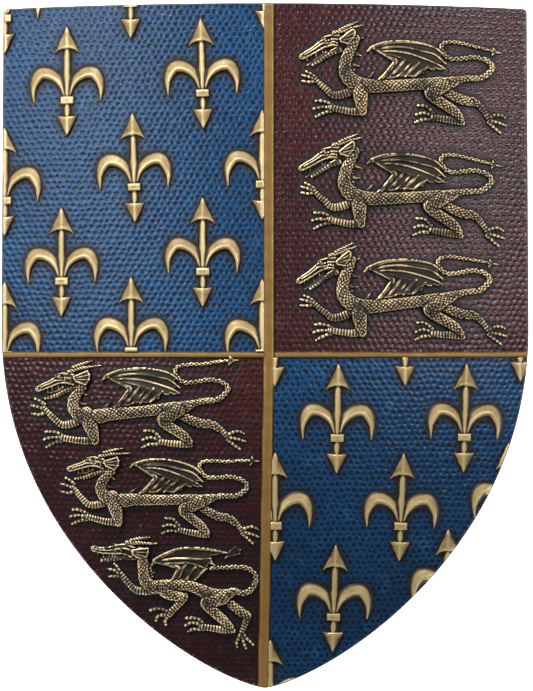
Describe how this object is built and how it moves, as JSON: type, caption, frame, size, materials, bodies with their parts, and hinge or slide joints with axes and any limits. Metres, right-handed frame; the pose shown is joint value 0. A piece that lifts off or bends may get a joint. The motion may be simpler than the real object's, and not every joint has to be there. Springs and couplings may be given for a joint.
{
  "type": "heraldic shield",
  "caption": "Bulging decorative shield with a cross band, fleurs-de-lis and walking dragons in relief, hollow behind, cast in one piece.",
  "frame": {"origin": "under the middle of the shield's box, on the surface it lies on", "axes": "+X to the right seen from the front, +Y towards the straight top edge, +Z out of the face"},
  "size_m": [0.355, 0.457, 0.0458],
  "materials": {
    "painted_resin": "cast resin, dark painted back and edges",
    "blue_field": "hammered, blue paint with a dark wash, satin",
    "red_field": "hammered, oxblood paint with a dark wash, satin",
    "gilt_band": "worn gold paint",
    "gilt_fleur": "antique gold paint with a dark wash",
    "bronze_dragon": "dark bronze paint brushed with gold on the high places"
  },
  "bodies": {
    "root": {"heraldic_shield": "painted_resin"}
  },
  "joints": []
}
